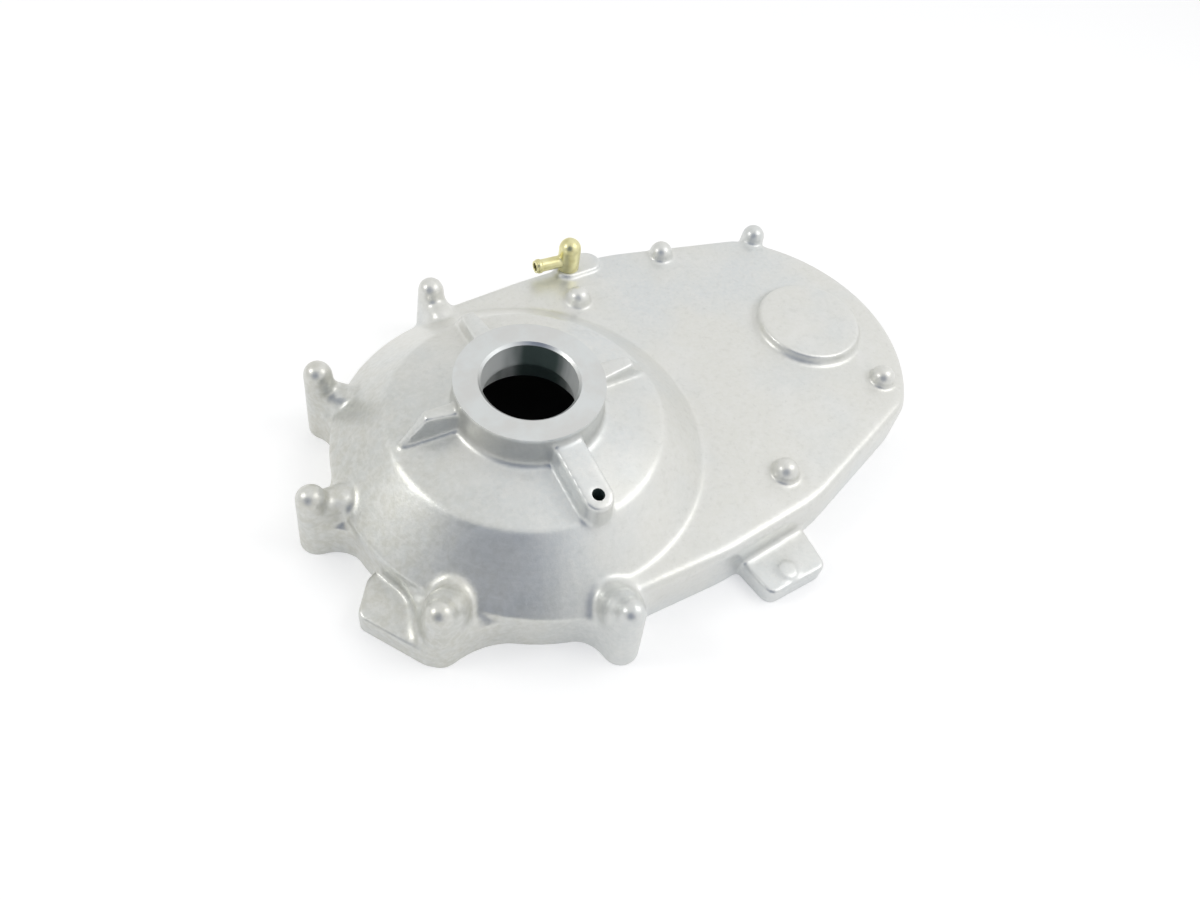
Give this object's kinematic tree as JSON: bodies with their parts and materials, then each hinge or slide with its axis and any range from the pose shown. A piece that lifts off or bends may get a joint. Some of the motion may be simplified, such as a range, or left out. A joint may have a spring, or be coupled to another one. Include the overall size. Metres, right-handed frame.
{
  "type": "die cast housing",
  "caption": "Domed outer half of a gear case, die cast in aluminium, with an axle bore in a raised collar, a bearing pad, bolt bosses, a lug, feet and a brass vent elbow.",
  "frame": {"origin": "axis of the axle bore at the joint face that the half bolts up against", "axes": "+Z out of the joint face through the collar, along the axle bore; +X along the case from the axle bore to the round bearing pad; +Y towards the side with the vent elbow"},
  "size_m": [0.4017, 0.2755, 0.0822],
  "materials": {
    "cast_aluminium": "as cast, satin, with machined seats and joint face",
    "brass": "turned, satin"
  },
  "bodies": {
    "root": {"housing": "cast_aluminium", "vent_elbow": "brass"}
  },
  "joints": []
}
